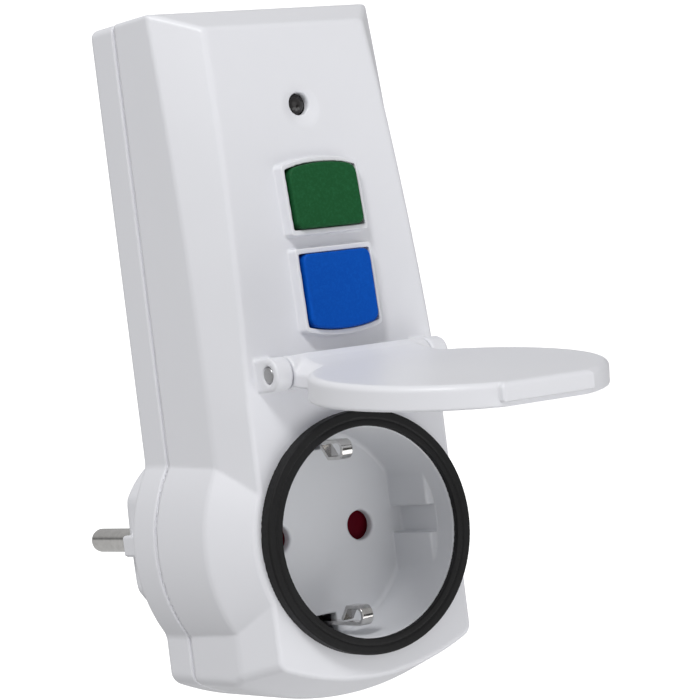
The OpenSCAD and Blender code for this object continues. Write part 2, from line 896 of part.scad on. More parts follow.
module upper_plug_earth() color("silver") place() plug_earth();
module lower_plug_earth() color("silver") place() mirror([0, 0, 1]) plug_earth();

module earth_bridge() color("peru") place() {
    for (m = [0, 1]) mirror([0, 0, m])
        block(-tail_half, tail_half, retainer_d + retainer_t, tail_d1, strap_z, strap_z + bar_t);
    block(-tail_half, tail_half, strap_d, sleeve_d1, -strap_z, strap_z);
}

module circuit_board() color("seagreen") place() difference() {
    block(-board_half, board_half, board_d, board_back, board_low, board_high);
    rod(0, reset_mid, board_d - cut, board_back + cut, stem_r + 0.5);
    for (x = [-post_x, post_x], z = [post_low, post_high])
        rod(x, z, board_d - cut, board_back + cut, board_screw_r + seat);
}

module board_screws() color("silver") place()
    for (x = [-post_x, post_x], z = [post_low, post_high]) {
        rod(x, z, board_d - board_screw_len, board_back, board_screw_r);
        rod(x, z, board_back, board_back + board_head_t, board_head_r);
    }

// Parts on the front of the board, each beside the control that it serves
part_in = 2.35;
part_stand = 0.8;

module control_chip() color([0.12, 0.12, 0.12]) place() {
    chip = [5, 1.8, 6];
    chip_in = 7.85;
    translate([-board_half + chip_in, board_d - chip[1], led_z - part_stand - chip[2]]) cube(chip);
}

module capacitor() color("orange") place() {
    can = [6, 8.5, 9];
    can_down = 0.5;
    translate([board_half - part_in - can[0], board_d - can[1], reset_mid - can_down]) cube(can);
}

module varistor() color("steelblue") place() {
    r = 5;
    disc_t = 4;
    disc_x = -board_half + part_in + disc_t / 2 + 1;
    leg_t = 1.2;
    leg_w = 6;
    disc_d = board_d - r - part_stand;
    translate([disc_x - disc_t / 2, disc_d, reset_mid]) rotate([0, 90, 0]) cylinder(r = r, h = disc_t);
    block(disc_x - leg_t / 2, disc_x + leg_t / 2, board_d - r, board_d,
          reset_mid - leg_w / 2, reset_mid + leg_w / 2);
}

module test_resistor() color("burlywood") place() {
    r = 1.6;
    len = 9.6;
    lead = 0.6;
    x = board_half - part_in - r - 1.9;
    axis_d = board_d - r - run;
    translate([x, axis_d, test_mid - len / 2]) cylinder(r = r, h = len);
    for (z = [test_mid - len / 2 - lead, test_mid + len / 2])
        block(x - lead / 2, x + lead / 2, axis_d - lead / 2, board_d, z, z + lead);
}

module transformer_core() color("black") place() difference() {
    rod(0, core_z, core_d0 + winding_t, core_d1 - winding_t, core_r - winding_t);
    rod(0, core_z, core_d0, core_d1, core_hole_r + winding_t);
}

// The winding wraps the core on all sides and stands on the board
module transformer_winding() color("chocolate") place() {
    skin = winding_t - seat;
    difference() {
        union() {
            rod(0, core_z, core_d0, core_d1, core_r);
            rod(0, core_z, board_back, core_d0, core_r - 2);
        }
        rod(0, core_z, board_back - cut, core_d1 + cut, core_hole_r);
        turned(0, core_z) polygon([
            [core_hole_r + skin, core_d0 + skin], [core_r - skin, core_d0 + skin],
            [core_r - skin, core_d1 - skin], [core_hole_r + skin, core_d1 - skin]
        ]);
    }
}

module magnet_yoke() color("slategray") place() {
    block(-yoke_half, yoke_half, yoke_d, block_back, reset_mid - yoke_h / 2, reset_mid + yoke_h / 2);
    for (z = [reset_mid - yoke_h / 2, reset_mid + yoke_h / 2 - yoke_t])
        block(-yoke_half, yoke_half, pole_d, yoke_d, z, z + yoke_t);
    rod(0, reset_mid, pole_d, yoke_d, stem_r);
}

module magnet_coil() color("chocolate") place() difference() {
    rod(0, reset_mid, pole_d + 0.2, yoke_d, yoke_h / 2 - yoke_t - 0.1);
    rod(0, reset_mid, pole_d - cut, block_back, stem_r + seat);
}

module armature() color("slategray") place()
    block(-yoke_half + 0.5, yoke_half - 0.5, carriage_back, carriage_back + armature_t,
          reset_mid - yoke_h / 2, reset_mid + yoke_h / 2);

module contact_carriage() color("ivory") place() difference() {
    block(-carriage_half, carriage_half, carriage_d, carriage_back, reset_mid - carriage_h / 2,
          reset_mid + carriage_h / 2);
    for (x = [-guide_x, guide_x])
        rod(x, reset_mid, carriage_d - cut, carriage_back + cut, guide_r + pivot_fit);
}

module carriage_guides() color("silver") place()
    for (x = [-guide_x, guide_x]) rod(x, reset_mid, board_back, block_front, guide_r);

module moving_contacts() color("goldenrod") place()
    for (s = [-1, 1]) {
        block(s * contact_x - contact_w / 2, s * contact_x + contact_w / 2,
              carriage_back, carriage_back + strip_t,
              reset_mid - contact_span / 2 - tip_r, reset_mid + contact_span / 2 + tip_r);
        for (z = [reset_mid - contact_span / 2, reset_mid + contact_span / 2])
            rod(s * contact_x, z, carriage_back + strip_t, carriage_back + strip_t + tip_t, tip_r);
    }

// The springs that part the contacts stand between the carriage and the terminal block
opening_x = (yoke_half + contact_x - contact_w / 2) / 2;
opening_r = 0.9;
opening_wire = 0.25;
module opening_spring() color("silver") place()
    for (x = [-opening_x, opening_x])
        coil(x, reset_mid, carriage_back, block_front, opening_r, opening_wire, 4);

module terminal_block() color("dimgray") place() difference() {
    block(-carriage_half - run, carriage_half + run, block_front, block_back, block_z0, block_z1);
    block(-yoke_half - run, yoke_half + run, block_front - cut, block_back + cut,
          reset_mid - yoke_h / 2 - run, reset_mid + yoke_h / 2 + run);
}

module supply_bar() {
    x = -contact_x;
    low = reset_mid - contact_span / 2;
    block(x - bar_w / 2, x + bar_w / 2, link_d, block_front, feed_low, low + tip_r);
    rod(x, low, fixed_tip_d, link_d, tip_r);
    block(x - bar_w / 2, bar_x1, link_d, block_front, feed_low, feed_low + bar_w);
    block(bar_x0, bar_x1, link_d, pin_back, feed_low, feed_low + bar_t);
    block(bar_x0, bar_x1, pin_back - bar_t, pin_back, -pin_r, feed_low + bar_t);
}

// Each load conductor passes through the transformer as a square bar beside its axis
core_bar_x = 1;
core_bar_w = 2;

module load_link() {
    x = -contact_x;
    high = reset_mid + contact_span / 2;
    block(x - bar_w / 2, x + bar_w / 2, link_d, block_front, high - tip_r, core_z + bar_w / 2);
    rod(x, high, fixed_tip_d, link_d, tip_r);
    block(x - bar_w / 2, -core_bar_x, link_d, block_front, core_z - bar_w / 2, core_z + bar_w / 2);
    block(-core_bar_x - core_bar_w, -core_bar_x, board_back, block_front,
          core_z - core_bar_w / 2, core_z + core_bar_w / 2);
}

module line_supply_bar() color("peru") place() supply_bar();
module neutral_supply_bar() color("peru") place() neutral_side() supply_bar();
module line_load_link() color("peru") place() load_link();
module neutral_load_link() color("peru") place() neutral_side() load_link();

front_housing();
rear_cover();
plug_nose();
housing_gasket();
housing_screws();
socket_cup();
socket_seal_ring();
upper_earth_clip();
lower_earth_clip();
shutter();
shutter_spring();
shutter_retainer();
line_receptacle();
neutral_receptacle();
receptacle_holder();
line_load_bar();
neutral_load_bar();
lid();
lid_hinge_pin();
reset_button();
reset_spring();
test_button();
test_spring();
test_contact_dome();
indicator_lens();
indicator_led();
line_pin();
neutral_pin();
upper_plug_earth();
lower_plug_earth();
earth_bridge();
circuit_board();
board_screws();
control_chip();
capacitor();
varistor();
test_resistor();
transformer_core();
transformer_winding();
magnet_yoke();
magnet_coil();
armature();
contact_carriage();
carriage_guides();
moving_contacts();
opening_spring();
terminal_block();
line_supply_bar();
neutral_supply_bar();
line_load_link();
neutral_load_link();
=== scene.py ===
"""Looks of the residual-current adapter plug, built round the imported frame.

Each shell is a rounded distance field in millimetres, turned into a mesh. A field takes x (to the right),
d (depth behind the flat of the front face) and z (height over the socket axis), and is negative inside.
"""
import json
import math

import bpy
import numpy as np
from mathutils import Matrix, Vector

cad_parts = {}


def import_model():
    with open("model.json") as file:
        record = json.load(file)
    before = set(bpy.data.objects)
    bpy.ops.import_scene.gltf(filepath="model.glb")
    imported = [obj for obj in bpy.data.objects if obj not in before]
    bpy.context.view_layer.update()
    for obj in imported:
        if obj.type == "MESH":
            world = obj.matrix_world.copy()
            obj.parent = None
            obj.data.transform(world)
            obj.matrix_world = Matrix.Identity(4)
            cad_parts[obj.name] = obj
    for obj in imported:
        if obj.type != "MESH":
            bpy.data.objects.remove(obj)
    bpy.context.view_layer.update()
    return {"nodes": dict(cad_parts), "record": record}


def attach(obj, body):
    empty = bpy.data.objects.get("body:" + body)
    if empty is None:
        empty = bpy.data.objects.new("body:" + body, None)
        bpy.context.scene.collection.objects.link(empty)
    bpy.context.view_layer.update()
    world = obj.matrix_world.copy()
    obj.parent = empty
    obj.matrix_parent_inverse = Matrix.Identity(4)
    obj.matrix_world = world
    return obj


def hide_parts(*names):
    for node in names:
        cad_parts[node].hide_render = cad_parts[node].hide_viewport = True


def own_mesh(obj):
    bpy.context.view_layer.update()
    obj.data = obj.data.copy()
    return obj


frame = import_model()

COARSE = 1.0

# Sizes of the housing, in millimetres
MM = 0.001
PLUG_D = 63.6
HALF_W = 24.65
BODY_TOP = 99.0
WALL = 2.2
PART_D = 26.2
REAR_D = 35.3
REAR_EDGE = 2.0
STEP_IN = 0.3
STEP_W = 0.9
FACE_HALF_LOW = 21.5
FACE_HALF_TOP = 17.8
CURVE_Z = 25.0
FACE_CURVE_R = 460.0
CHAMFER_CURVE_R = 620.0
CHAMFER_D = 9.0
TOP_BEVEL_Z = 95.0
TOP_BEVEL_D = 13.2
BOTTOM_R = 53.0
BOTTOM_Z = 22.2
BOTTOM_BEVEL_H = 4.0
BOTTOM_BEVEL_D = 12.0
BULGE_R = 29.38
BULGE_FRONT_R = 28.98
BULGE_FACE_R = 23.6
BULGE_CONE_D = 9.0
OUTLINE_CORNER = 1.5
CHAMFER_EDGE = 0.35
BOTTOM_EDGE = 1.2
FACE_EDGE = 0.7
JOIN_EDGE = 0.45

# Grades of edge radius, and the clearance between fitted pieces
EDGE_FINE = 0.15
EDGE_SMALL = 0.2
EDGE = 0.3
EDGE_SOFT = 0.4
EDGE_ROUND = 0.5
EDGE_WIDE = 0.6
EDGE_BROAD = 0.8
CLEAR = 0.05

# Sizes of the plug
NOSE_R = 18.5
NOSE_HALF = 16.2
TAPER_D = 57.5
PLUG_FACE_R = 12.9
RIB_HALF = 2.1
RIB_REACH = 18.4
PIN_X = 9.5
PIN_R = 2.4
PIN_TIP_D = 82.6
PIN_SEAT_D = 56.5
PIN_BACK_D = 47.0
PIN_TIP_EDGE = 1.6
PIN_COLLAR = 1.0
PIN_COLLAR_T = 2.0
PIN_ROOM = 1.0
COLLAR_OUT = 1.8
COLLAR_T = 1.5
EARTH_HALF = 3.0
EARTH_Z = (16.6, 17.7)
EARTH_D = (44.0, 58.5)
EARTH_TAIL_D = (45.0, 47.0)
EARTH_TAIL_Z = 15.4
EARTH_TAIL_HALF = 2.0
EARTH_TAIL_IN = 0.5

# Sizes of the socket
CUP_R = 19.3
CUP_OUT_R = 20.8
CUP_RIM_D = -1.5
FLOOR_D = 14.8
FLOOR_BACK_D = 17.0
FLOOR_FILLET = 0.9
CUP_FLANGE_R = 22.0
CUP_FLANGE_T = 1.6
RIM_EDGE = 0.25
STUD_R = 1.5
STUD_D = (1.0, 6.1)
RING_R = 22.5
RING_IN_R = 19.45
RING_D = -2.7
RING_EDGE = 0.35
RING_GROOVE_R = 20.75
RING_GROOVE_IN = 0.05
RING_GROOVE_W = 0.2
BLOCK_X = 16.85
BLOCK_D = 3.4
BLOCK_DRAFT = 0.04
SLOT_HALF = 2.6
SLOT_X = 19.2
HOLE_R = 2.8
CLIP_HALF = 1.25
CLIP_Z = 17.05
CLIP_T = 0.7
CLIP_HOOK_R = 1.55
CLIP_BEND_D = 3.9
CLIP_RUN = 3.1
CLIP_END = (1.9, 2.2)
CLIP_BACK_D = 19.8
CLIP_FOOT_Z = 14.4
CLIP_SLOT_X = (-1.55, 3.05)
CLIP_SLOT_Z = (15.5, 19.6)
CLIP_SLOT_IN = 0.4

# Sizes of the lid and its hinge
HINGE_D = -4.0
HINGE_Z = 31.0
HINGE_PIN_R = 1.5
HINGE_PLAY = 0.06
HINGE_HOLE_X = 10.0
HINGE_HOLE_EDGE = 0.35
LUG_R = 3.1
LUG_X = (15.6, 19.2)
LID_R = 26.2
LID_TOP = 1.85
LID_UNDER = -0.75
LID_LOW = -3.15
LID_RISE = 0.013
LID_SKIRT = 2.0
LID_DROOP = math.radians(7)
LIP_OUT = 0.7
LIP_HALF = 10.0
LIP_LOW = -1.45
LIP_FLAT = 25.3
LIP_WALL = 1.2
LID_EDGE = 1.2
ARM_HALF = 15.42
ARM_LEN = 12.0
ARM_LOW = -2.4
RAMP_LEN = 9.0
RAMP_R = 32.4

# Sizes of the controls
BUTTON_HALF = 7.4
BUTTON_FRONT = -3.3
BUTTON_PROUD = 0.9
BUTTON_CORNER = 1.5
BUTTON_EDGE = 0.4
WELL_CORNER = 0.35
WELL_GAP = 0.12
WELL_SIDE_GAP = 0.45
BEZEL_CORNER = 0.6
RESET_Z = (56.5, 68.5)
TEST_Z = (37.7, 51.9)
ARCH_R = 29.0
BEZEL_OUT = 2.4
BEZEL_RIM = 0.8
BEZEL_EDGE = 0.2
RUN = 0.3
GUIDE_D = 6.7
FLANGE_D = (7.0, 8.5)
FLANGE_GROW = 0.9
STEM_R = 2.0
RESET_STEM_D = 20.3
TEST_STEM_D = 14.5
LED_Z = 79.8
LED_R = 2.1
LED_EDGE = 0.25
DISH_R = 3.5
DISH_DEEP = 0.9
LENS_R = 2.0
LENS_SUNK = 1.0
LENS_BALL_R = 2.6
LENS_BACK_D = 10.2
LENS_COLLAR_R = 3.1
LENS_COLLAR_D = (6.1, 7.1)

# Springs with the joint that shortens them, the depth of their fixed end and the share that stays
SPRINGS = (
    ("reset_spring", "reset_press", 17.5, 0.65),
    ("test_spring", "test_press", 17.5, 0.76),
    ("opening_spring", "carriage_travel", 30.5, 0.62),
)

# Screws that join the shells
SCREWS = ((18.5, 89.5), (19.2, -16.17))
SCREW_R = 1.45
SCREW_HEAD_R = 2.6
SCREW_SEAT_D = 33.05
SCREW_TOP_D = 34.8
SCREW_TIP_D = 15.2
SCREW_ROOM = 1.0
SCREW_HEAD_GAP = 0.2
SCREW_SINK = 0.5
POST_R = 2.6
POST_SKIN = 0.6
BOSS_R = 3.4
CROSS_LONG = 1.8
CROSS_HALF = 0.4
CROSS_DEEP = 1.0

# Mesh grids: margin round a piece in cells, least slope that is trusted, and boxes that no other size gives
GRID_MARGIN = 1.5
LEAST_SLOPE = 0.2
SHELL_HALF = 29.6
SHELL_FRONT_D = -7.3
SHELL_LOW = -31
FINE_ZONE = ((-9.5, 9.5, 0.2), (-3.2, 2.8, 0.2), (35.5, 71.0, 0.2))
NOSE_BOX = 20.4
NOSE_BOX_D = 31.5
CUP_BOX = 22.1
CUP_BOX_D = 21
CLIP_BOX_HALF = 1.3
CLIP_BOX_D = 1.9
CLIP_BOX_Z = (13.5, 17.5)
EARTH_BOX_HALF = 3.1
EARTH_BOX_D = (43.9, 58.6)
EARTH_BOX_Z = (15.3, 17.8)
PIN_BOX = 3.5
HINGE_BOX = 1.3
LID_BOX = 26.9
LID_BOX_Y = (-58, 3.1)
LID_BOX_TOP = 3.1
CAP_BOX = 8.4
RESET_BOX_Z = (55.5, 69.5)
TEST_BOX_Z = (36.7, 52.9)
LENS_BOX_D = 4


def both(a, b, r=0.0):
    """Where both fields are inside; a convex edge gets radius r."""
    if r == 0:
        return np.maximum(a, b)
    return np.minimum(np.maximum(a, b), -r) + np.hypot(np.maximum(a + r, 0), np.maximum(b + r, 0))


def either(a, b, r=0.0):
    """Where one of the fields is inside; a concave edge gets a fillet of radius r."""
    return -both(-a, -b, r)


def less(a, b, r=0.0):
    """The first field with the second one cut away; the rim of the cut gets radius r."""
    return both(a, -b, r)


def between(value, low, high):
    return np.abs(value - (low + high) / 2) - (high - low) / 2


def grid_lines(low, high, cell, part=None):
    """Positions of the grid lines along one axis, closer together in a finer part."""
    first = low - GRID_MARGIN * cell
    last = high + GRID_MARGIN * cell
    if part is None:
        return np.linspace(first, last, math.ceil((last - first) / cell) + 1)
    start, end, step = part
    return np.concatenate([
        np.linspace(first, start, math.ceil((start - first) / cell), endpoint=False),
        np.linspace(start, end, math.ceil((end - start) / (step * COARSE)), endpoint=False),
        np.linspace(end, last, math.ceil((last - end) / cell) + 1)])


def surface_net(field, axes):
    """Points and quads of the field's surface on a grid."""
    value = field(*np.meshgrid(*axes, indexing="ij"))
    cells = tuple(n - 1 for n in value.shape)
    size = int(np.prod(cells))
    total = np.zeros((size, 3))
    count = np.zeros(size)
    around = ((-1, -1), (0, -1), (0, 0), (-1, 0))
    corners = []
    for axis in range(3):
        u = (axis + 1) % 3
        v = (axis + 2) % 3
        start = np.delete(value, -1, axis)
        end = np.delete(value, 0, axis)
        crossed = (start < 0) != (end < 0)
        index = np.argwhere(crossed)
        place = index.astype(float)
        place[:, axis] += start[crossed] / (start[crossed] - end[crossed])
        ring = []
        for du, dv in around:
            cell_index = index.copy()
            cell_index[:, u] += du
            cell_index[:, v] += dv
            flat = np.ravel_multi_index(cell_index.T, cells)
            ring.append(flat)
            count += np.bincount(flat, minlength=size)
            for k in range(3):
                total[:, k] += np.bincount(flat, place[:, k], minlength=size)
        ring = np.stack(ring, 1)
        inward = start[crossed] >= 0
        ring[inward] = ring[inward][:, ::-1]
        corners.append(ring)
    used = count > 0
    names = np.cumsum(used) - 1
    index = total[used] / count[used][:, None]
    points = np.stack([np.interp(index[:, k], np.arange(len(axes[k])), axes[k]) for k in range(3)], 1)
    return points, names[np.concatenate(corners)]


def slope(field, points, step=0.02):
    """Gradient of the field at each point."""
    parts = []
    for k in range(3):
        shift = np.zeros(3)
        shift[k] = step
        ahead = field(*(points + shift).T)
        behind = field(*(points - shift).T)
        parts.append((ahead - behind) / (2 * step))
    return np.stack(parts, 1)


def settle(field, points, cell, rounds=3):
    """Moves the points onto the surface, each along its own straight line."""
    gradient = slope(field, points)
    length = np.maximum(np.linalg.norm(gradient, axis=1), LEAST_SLOPE)
    for _ in range(rounds):
        step = np.clip(field(*points.T) / length, -cell / 2, cell / 2)
        points = points - gradient * (step / length)[:, None]
    return points


def in_frame(points, normals):
    """From x, depth and height in millimetres to the shared frame in metres."""
    return (points - np.array([0, PLUG_D, 0])) * MM, normals


def solid(name, field, low, high, cell, place=in_frame, finer=(None, None, None)):
    """A smooth mesh object of the field."""
    cell = cell * COARSE
    axes = [grid_lines(a, b, cell, part) for a, b, part in zip(low, high, finer)]
    points, quads = surface_net(field, axes)
    points = settle(field, points, cell)
    normals = slope(field, points)
    normals /= np.maximum(np.linalg.norm(normals, axis=1), 1e-9)[:, None]
    points, normals = place(points, normals)
    mesh = bpy.data.meshes.new(name)
    mesh.from_pydata(points, [], quads)
    mesh.polygons.foreach_set("use_smooth", np.ones(len(quads), bool))
    mesh.normals_split_custom_set_from_vertices(normals)
    obj = bpy.data.objects.new(name, mesh)
    bpy.context.scene.collection.objects.link(obj)
    return obj


def dress(obj, body, slot, *nodes):
    """Fixes a piece to its body, gives it its finish and lets it stand for its nodes."""
    obj.data.materials.append(FINISHES[slot])
    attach(obj, body)
    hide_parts(*nodes)
    return obj


# Finishes: noise scales per metre, relief depths in metres

CLOUD_SCALE = 60.0
SPECKLE_SCALE = 1800.0
SPECKLE_SPAN = (0.45, 0.8)
SPECKLE_SPECULAR = 0.1
SPECKLE_RELIEF = 0.04
SPECKLE_DEPTH = 0.00003
GRAIN_DEPTH = 0.00002
METAL_SHADES = (0.9, 1.06)
NOISE_SPAN = (0.3, 0.7)


def new_finish(name):
    material = bpy.data.materials.new(name)
    material.use_nodes = True
    nodes = material.node_tree.nodes
    return material, nodes, material.node_tree.links, nodes["Principled BSDF"]


def noise(nodes, links, scale, detail=4.0, roughness=0.55):
    """A noise over the piece's own metres."""
    where = nodes.new("ShaderNodeTexCoord")
    texture = nodes.new("ShaderNodeTexNoise")
    texture.inputs["Scale"].default_value = scale
    texture.inputs["Detail"].default_value = detail
    texture.inputs["Roughness"].default_value = roughness
    links.new(where.outputs["Object"], texture.inputs["Vector"])
    return texture.outputs["Fac"]


def vary(nodes, links, source, low, high, start=0.35, end=0.65):
    """Two colours blended by a noise."""
    ramp = nodes.new("ShaderNodeValToRGB")
    ramp.color_ramp.elements[0].position = start
    ramp.color_ramp.elements[0].color = (*low, 1)
    ramp.color_ramp.elements[1].position = end
    ramp.color_ramp.elements[1].color = (*high, 1)
    links.new(source, ramp.inputs["Fac"])
    return ramp.outputs["Color"]


def between_values(nodes, links, source, low, high):
    """A number that follows a noise between two limits."""
    spread = nodes.new("ShaderNodeMapRange")
    spread.inputs["From Min"].default_value = NOISE_SPAN[0]
    spread.inputs["From Max"].default_value = NOISE_SPAN[1]
    spread.inputs["To Min"].default_value = low
    spread.inputs["To Max"].default_value = high
    links.new(source, spread.inputs["Value"])
    return spread.outputs["Result"]


def bump(nodes, links, source, shader, strength, distance):
    relief = nodes.new("ShaderNodeBump")
    relief.inputs["Strength"].default_value = strength
    relief.inputs["Distance"].default_value = distance
    links.new(source, relief.inputs["Height"])
    links.new(relief.outputs["Normal"], shader.inputs["Normal"])


def scaled(colour, factor):
    return tuple(min(c * factor, 1.0) for c in colour)


def moulded(name, colour, gloss, grain=2500.0, relief=0.003, spread=0.03, specular=0.5):
    """Moulded plastic: a faint cloud in the colour, uneven gloss and a fine grain."""
    material, nodes, links, shader = new_finish(name)
    shader.inputs["Specular IOR Level"].default_value = specular
    cloud = noise(nodes, links, CLOUD_SCALE, detail=3.0)
    fine = noise(nodes, links, grain, detail=5.0)
    tint = vary(nodes, links, cloud, scaled(colour, 1 - spread), scaled(colour, 1 + spread))
    links.new(tint, shader.inputs["Base Color"])
    links.new(between_values(nodes, links, fine, *gloss), shader.inputs["Roughness"])
    bump(nodes, links, fine, shader, relief, GRAIN_DEPTH)
    return material


def speckled(name, colour, fleck, gloss):
    """Coloured plastic with a fine matt speckle."""
    material, nodes, links, shader = new_finish(name)
    shader.inputs["Specular IOR Level"].default_value = SPECKLE_SPECULAR
    fine = noise(nodes, links, SPECKLE_SCALE, detail=3.0, roughness=0.7)
    links.new(vary(nodes, links, fine, colour, fleck, *SPECKLE_SPAN), shader.inputs["Base Color"])
    links.new(between_values(nodes, links, fine, *gloss), shader.inputs["Roughness"])
    bump(nodes, links, fine, shader, SPECKLE_RELIEF, SPECKLE_DEPTH)
    return material


def metal(name, colour, gloss, grain=700.0, relief=0.05):
    """Plated or drawn metal with fine handling marks."""
    material, nodes, links, shader = new_finish(name)
    shader.inputs["Metallic"].default_value = 1.0
    fine = noise(nodes, links, grain, detail=6.0, roughness=0.6)
    dark, light = [scaled(colour, shade) for shade in METAL_SHADES]
    links.new(vary(nodes, links, fine, dark, light), shader.inputs["Base Color"])
    links.new(between_values(nodes, links, fine, *gloss), shader.inputs["Roughness"])
    bump(nodes, links, fine, shader, relief, GRAIN_DEPTH)
    return material


FINISHES = {
    "housing_white": moulded("housing_white", (0.80, 0.805, 0.842), (0.36, 0.44), spread=0.005),
    "socket_grey": moulded("socket_grey", (0.71, 0.72, 0.745), (0.36, 0.46), spread=0.008),
    "seal_black": moulded("seal_black", (0.007, 0.007, 0.0075), (0.5, 0.62),
                          grain=1500.0, relief=0.1, spread=0.2, specular=0.25),
    "button_green": speckled("button_green", (0.011, 0.086, 0.027), (0.018, 0.125, 0.045), (0.4, 0.55)),
    "button_blue": speckled("button_blue", (0.0, 0.078, 0.46), (0.002, 0.1, 0.53), (0.4, 0.55)),
    "shutter_red": moulded("shutter_red", (0.1, 0.001, 0.008), (0.35, 0.5), spread=0.1, specular=0.06),
    "lens_smoke": moulded("lens_smoke", (0.02, 0.018, 0.018), (0.08, 0.16), spread=0.15),
    "nickel": metal("nickel", (0.66, 0.65, 0.635), (0.12, 0.2)),
    "steel": metal("steel", (0.50, 0.50, 0.51), (0.28, 0.42)),
    "brass": metal("brass", (0.72, 0.52, 0.22), (0.22, 0.35)),
    "copper": metal("copper", (0.76, 0.38, 0.23), (0.25, 0.4)),
    "iron": metal("iron", (0.16, 0.16, 0.17), (0.45, 0.6)),
    "board_green": moulded("board_green", (0.02, 0.14, 0.05), (0.25, 0.4), spread=0.2),
    "inner_plastic": moulded("inner_plastic", (0.16, 0.16, 0.17), (0.4, 0.55), spread=0.06),
    "component_coat": moulded("component_coat", (0.55, 0.2, 0.03), (0.25, 0.4), spread=0.12),
}


# Housing shells

def face_depth(z):
    return np.maximum(z - CURVE_Z, 0) ** 2 / (2 * FACE_CURVE_R)


def bottom_arch(x, z):
    return np.hypot(x, np.minimum(z - BOTTOM_Z, 0))


def outline(x, z):
    """The housing seen from the front, without bevels."""
    column = both(np.abs(x) - HALF_W, z - BODY_TOP, OUTLINE_CORNER)
    column = both(column, bottom_arch(x, z) - BOTTOM_R, OUTLINE_CORNER)
    return either(column, np.hypot(x, z) - BULGE_R, EDGE)


def front_form(x, d, z):
    """The front housing's outer form, open to the back."""
    across = np.abs(x)
    lift = np.maximum(z - CURVE_Z, 0)
    face = face_depth(z)
    edge = CHAMFER_D + lift ** 2 / (2 * CHAMFER_CURVE_R)
    share = np.minimum(lift / (TOP_BEVEL_Z - CURVE_Z), 1)
    half = FACE_HALF_LOW - (FACE_HALF_LOW - FACE_HALF_TOP) * share
    rise = edge - face
    run = HALF_W - half
    chamfer = ((across - HALF_W) * rise - (d - edge) * run) / np.hypot(rise, run)
    column = both(across - HALF_W, chamfer, CHAMFER_EDGE)
    bevel_h = BODY_TOP - TOP_BEVEL_Z
    bevel_d = TOP_BEVEL_D - (TOP_BEVEL_Z - CURVE_Z) ** 2 / (2 * FACE_CURVE_R)
    bevel = ((z - BODY_TOP) * bevel_d - (d - TOP_BEVEL_D) * bevel_h) / math.hypot(bevel_d, bevel_h)
    column = both(column, both(z - BODY_TOP, bevel, EDGE_WIDE), EDGE_BROAD)
    arch = bottom_arch(x, z)
    grow = BOTTOM_BEVEL_H / BOTTOM_BEVEL_D
    low_bevel = (arch - BOTTOM_R + BOTTOM_BEVEL_H - d * grow) / math.hypot(1, grow)
    column = both(column, both(arch - BOTTOM_R, low_bevel, EDGE_WIDE), BOTTOM_EDGE)
    out = np.hypot(x, z)
    draft = (BULGE_R - BULGE_FRONT_R) / (PART_D - BULGE_CONE_D)
    cone_w = BULGE_FRONT_R - BULGE_FACE_R
    cone = (out - BULGE_FRONT_R) * BULGE_CONE_D - (d - BULGE_CONE_D) * cone_w
    cone = cone / math.hypot(BULGE_CONE_D, cone_w)
    bulge = both(out - BULGE_FRONT_R - (d - BULGE_CONE_D) * draft, cone, EDGE_SOFT)
    return both(either(column, bulge, EDGE_FINE), face - d, FACE_EDGE)


def button_zone(x, z, limits, arch_up, grow, corner):
    """A button seen from the front, with one arched edge."""
    low, high = limits
    if arch_up:
        straight = low - grow - z
        centre = high - ARCH_R
    else:
        straight = z - high - grow
        centre = low + ARCH_R
    box = both(np.abs(x) - BUTTON_HALF - grow, straight, corner)
    return both(box, np.hypot(x, z - centre) - ARCH_R - grow, corner)


def before(d, z, limits, out):
    """Distance in front of a plane that leans with the face at a button and stands before it."""
    middle = sum(limits) / 2
    tilt = math.atan((middle - CURVE_Z) / FACE_CURVE_R)
    front = face_depth(middle) - out
    return (front - d) * math.cos(tilt) + (z - middle) * math.sin(tilt)


def screw_shaft(x, z, r):
    """Round columns at the four screws."""
    rings = [np.hypot(np.abs(x) - sx, z - sz) - r for sx, sz in SCREWS]
    return np.minimum(*rings)


